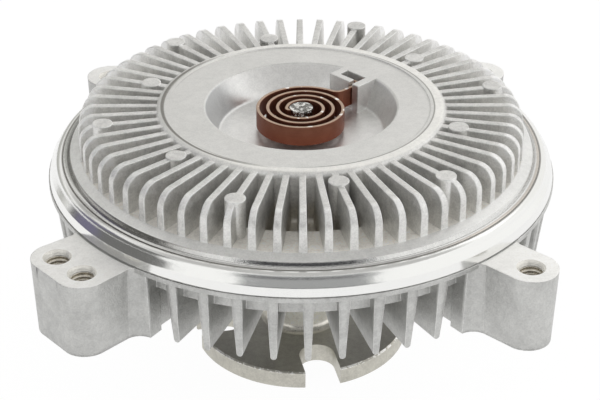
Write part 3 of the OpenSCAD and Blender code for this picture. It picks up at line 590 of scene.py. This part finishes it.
# The strip's section in shares of its thickness and height, with small bevels at the corners
coil_section = ((-0.5, 0.018), (-0.42, 0.0), (0.42, 0.0), (0.5, 0.018),
                (0.5, 0.982), (0.42, 1.0), (-0.42, 1.0), (-0.5, 0.982))
coil_points = coil_line()


def coil_mesh(build):
    turn = math.radians(ANCHOR_ANGLE)
    spin = np.array([[math.cos(turn), -math.sin(turn)], [math.sin(turn), math.cos(turn)]])
    line = [spin @ p for p, share in coil_points]
    rings = []
    for i, p in enumerate(line):
        ahead = line[min(i + 1, len(line) - 1)] - line[max(i - 1, 0)]
        across = np.array([-ahead[1], ahead[0]]) / np.linalg.norm(ahead)
        rings.append([(*(p + across * STRIP_T * u), Z_COIL + STRIP_H * v) for u, v in coil_section])
    sweep(build, rings)


coil = new_piece("coil_strip", coil_mesh, "bimetal_strip")
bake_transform(coil)
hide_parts("bimetal_coil")
for face in coil.data.polygons:
    face.use_smooth = True
coil.data.set_sharp_from_angle(angle=math.radians(35))

# Camera at the photograph's angle
camera = new_object("camera", bpy.data.cameras.new("camera"))
camera.data.sensor_width, camera.data.lens = 36.0, 107.822
camera.data.clip_start, camera.data.clip_end = 0.05, 60.0
camera.location = (-0.118258, -0.556361, 0.381767)
camera.rotation_euler = [math.radians(a) for a in (60.18551, -0.09229, -11.90768)]
bpy.context.scene.camera = camera

# Studio: white floor, a soft lamp overhead and a room with light and dark sides
FRONT_TURN = math.radians(-12.0)
FRONT = (math.sin(FRONT_TURN), -math.cos(FRONT_TURN), 0.0)
RIGHT = (math.cos(FRONT_TURN), math.sin(FRONT_TURN), 0.0)


def rays(board, *kinds):
    """1 for these kinds of ray, 0 for other light."""
    total = 0.0
    for kind in kinds:
        total = board.node("LightPath", None, None, "Is %s Ray" % kind) + total
    return total.limit(0.0, 1.0)


floor_mesh = bpy.data.meshes.new("floor")
floor_corners = [(FLOOR_HALF * u, FLOOR_HALF * v, 0) for u, v in ((-1, -1), (1, -1), (1, 1), (-1, 1))]
floor_mesh.from_pydata(floor_corners, [], [(0, 1, 2, 3)])
floor = new_object("floor", floor_mesh)
floor_material, board = finish_board("white_floor")
seen = rays(board, "Camera", "Glossy", "Transmission")
matt = board.node("BsdfDiffuse", None, {"Color": rgb(0.86, 0.86, 0.86)})
white = board.node("Emission", None, {"Color": rgb(1, 1, 1), "Strength": 1.04})
board.finish(board.node("MixShader", None, {0: seen * 0.93, 1: matt, 2: white}))
floor_mesh.materials.append(floor_material)

world = bpy.data.worlds.new("studio")
bpy.context.scene.world = world
world.use_nodes = True
board = Board(world.node_tree)
way = board.node("TexCoord", None, None, "Generated")
side, front, rise = board.dot(way, RIGHT), board.dot(way, FRONT), board.parts(way)[2]
azimuth = side.math("ARCTAN2", side, front) * (180 / math.pi)
height = rise.math("ARCSINE", rise) * (180 / math.pi)
behind = board.step(abs(azimuth), 115.0, 140.0) * board.fade(height, 45.0, 60.0)
# Each side's reach around from the front and up, in degrees with the softness of its ends, and its colour
room_sides = (
    ((-176.0, -122.0, 8.0), (32.0, 58.0, 5.0), rgb(0.42, 0.415, 0.40)),  # high, back left
    ((-168.0, -122.0, 6.0), (-8.0, 22.0, 4.0), rgb(0.50, 0.50, 0.475)),  # low, back left
    ((-118.0, -63.0, 2.0), (-8.0, 46.0, 3.0), rgb(0.17, 0.17, 0.165)),  # left
    ((-113.0, -99.0, 3.0), (2.0, 40.0, 4.0), rgb(0.19, 0.18, 0.26)),  # tinted part of the left
    ((-29.0, 34.0, 1.0), (4.0, 53.0, 2.0), rgb(0.38, 0.385, 0.385)),  # front
    ((-24.0, 26.0, 2.0), (4.0, 25.0, 3.0), rgb(0.07, 0.07, 0.075)),  # dark foot of the front
    ((-60.0, 60.0, 8.0), (55.0, 59.0, 1.0), rgb(0.9, 0.9, 0.89)),  # bright strip above the front
)
room = board.layers(rgb(1.05, 1.05, 1.04), (
    (board.step(height, 44.0, 56.0), rgb(0.14, 0.135, 0.125)),
    (behind, rgb(0.98, 0.975, 0.96)),
))
for around, upwards, colour in room_sides:
    room = board.mix(board.band(azimuth, *around) * board.band(height, *upwards), room, colour)
room = board.mix(rays(board, "Camera"), room, rgb(1, 1, 1))
sky = board.node("Background", None, {"Color": room, "Strength": 1.0})
board.node("OutputWorld", None, {0: sky})

lamp = bpy.data.lights.new("top_light", "AREA")
lamp.shape = "RECTANGLE"
lamp.size, lamp.size_y = 3.4, 3.4
lamp.energy = 15.0
top_light = new_object("top_light", lamp)
top_light.location = (0.1, 0.2, 2.0)

bpy.context.scene.view_settings.view_transform = "Standard"
